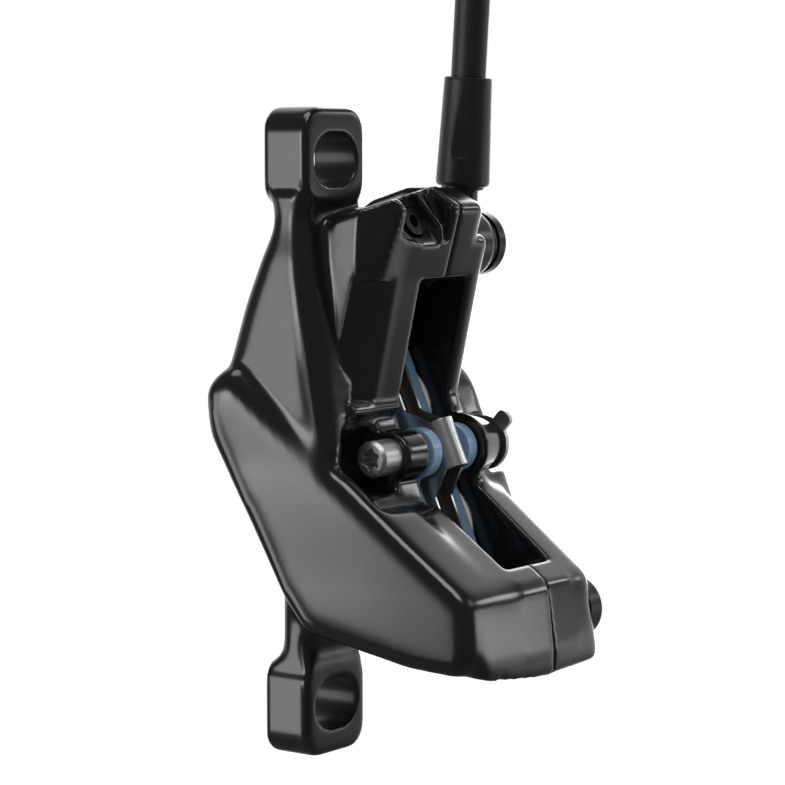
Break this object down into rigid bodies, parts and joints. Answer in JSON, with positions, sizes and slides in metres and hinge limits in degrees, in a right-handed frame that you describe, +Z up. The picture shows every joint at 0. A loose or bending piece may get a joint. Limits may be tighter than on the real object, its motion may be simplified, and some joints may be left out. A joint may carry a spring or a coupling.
{
  "type": "bicycle disc brake caliper",
  "caption": "Hydraulic disc brake caliper on slotted post-mount ears: opposed pistons press two pads toward a rotor; the hose enters at a banjo.",
  "frame": {"origin": "centre of the post mount: midway between the two mounting slots, on the ears' mounting face", "axes": "+Z up the line through the two mounting bolts, -Y out of the ears towards the bolt heads, +X from the outboard half to the inboard half, along the wheel's axle"},
  "size_m": [0.0443, 0.0801, 0.1673],
  "materials": {
    "gloss_black_anodised": "gloss black anodised, soft grey reflections",
    "black_steel": "black oxide steel",
    "seal_rubber": "black rubber",
    "piston_ceramic": "off-white phenolic",
    "blue_plate": "light blue coated steel",
    "friction_compound": "sintered brown-grey compound",
    "steel": "bright stainless steel",
    "spring_steel": "bright spring steel",
    "black_fitting": "black anodised, satin",
    "washer_alloy": "dark grey soft aluminium",
    "boot_rubber": "black rubber, satin",
    "hose_jacket": "black nylon jacket",
    "tie_strap": "black strap",
    "olive_brass": "plain brass"
  },
  "bodies": {
    "caliper": {"outboard_body": "gloss_black_anodised", "inboard_body": "gloss_black_anodised", "body_bolt": "black_steel", "crossover_seal": "seal_rubber", "outboard_upper_seal": "seal_rubber", "outboard_lower_seal": "seal_rubber", "inboard_upper_seal": "seal_rubber", "inboard_lower_seal": "seal_rubber", "pad_pin": "steel", "pin_clip": "steel", "pad_spring": "spring_steel", "banjo_fitting": "black_fitting", "banjo_bolt": "black_steel", "banjo_washers": "washer_alloy", "bleed_screw": "black_steel", "bleed_seal": "seal_rubber", "crimp_sleeve": "black_fitting", "hose_boot": "boot_rubber", "hose": "hose_jacket", "hose_coil": "hose_jacket", "coil_ties": "tie_strap", "lever_nut": "black_fitting", "lever_olive": "olive_brass", "lever_insert": "olive_brass"},
    "outboard_pad": {"outboard_backing_plate": "blue_plate", "outboard_friction_pad": "friction_compound"},
    "inboard_pad": {"inboard_backing_plate": "blue_plate", "inboard_friction_pad": "friction_compound"},
    "outboard_upper_piston": {"outboard_upper_piston": "piston_ceramic"},
    "outboard_lower_piston": {"outboard_lower_piston": "piston_ceramic"},
    "inboard_upper_piston": {"inboard_upper_piston": "piston_ceramic"},
    "inboard_lower_piston": {"inboard_lower_piston": "piston_ceramic"}
  },
  "joints": [
    {"name": "outboard_pad_slide", "type": "slide", "parent": "caliper", "child": "outboard_pad", "axis": [1, 0, 0], "range_m": [-0.0004, 0.0011]},
    {"name": "inboard_pad_slide", "type": "slide", "parent": "caliper", "child": "inboard_pad", "axis": [-1, 0, 0], "range_m": [-0.0004, 0.0011]},
    {"name": "outboard_upper_piston_slide", "type": "slide", "parent": "caliper", "child": "outboard_upper_piston", "axis": [1, 0, 0], "range_m": [-0.0004, 0.0011]},
    {"name": "outboard_lower_piston_slide", "type": "slide", "parent": "caliper", "child": "outboard_lower_piston", "axis": [1, 0, 0], "range_m": [-0.0004, 0.0011]},
    {"name": "inboard_upper_piston_slide", "type": "slide", "parent": "caliper", "child": "inboard_upper_piston", "axis": [-1, 0, 0], "range_m": [-0.0004, 0.0011]},
    {"name": "inboard_lower_piston_slide", "type": "slide", "parent": "caliper", "child": "inboard_lower_piston", "axis": [-1, 0, 0], "range_m": [-0.0004, 0.0011]}
  ],
  "couplings": [
    {"joint": "inboard_pad_slide", "follows": "outboard_pad_slide", "ratio": 1},
    {"joint": "outboard_upper_piston_slide", "follows": "outboard_pad_slide", "ratio": 1},
    {"joint": "outboard_lower_piston_slide", "follows": "outboard_pad_slide", "ratio": 1},
    {"joint": "inboard_upper_piston_slide", "follows": "outboard_pad_slide", "ratio": 1},
    {"joint": "inboard_lower_piston_slide", "follows": "outboard_pad_slide", "ratio": 1}
  ]
}
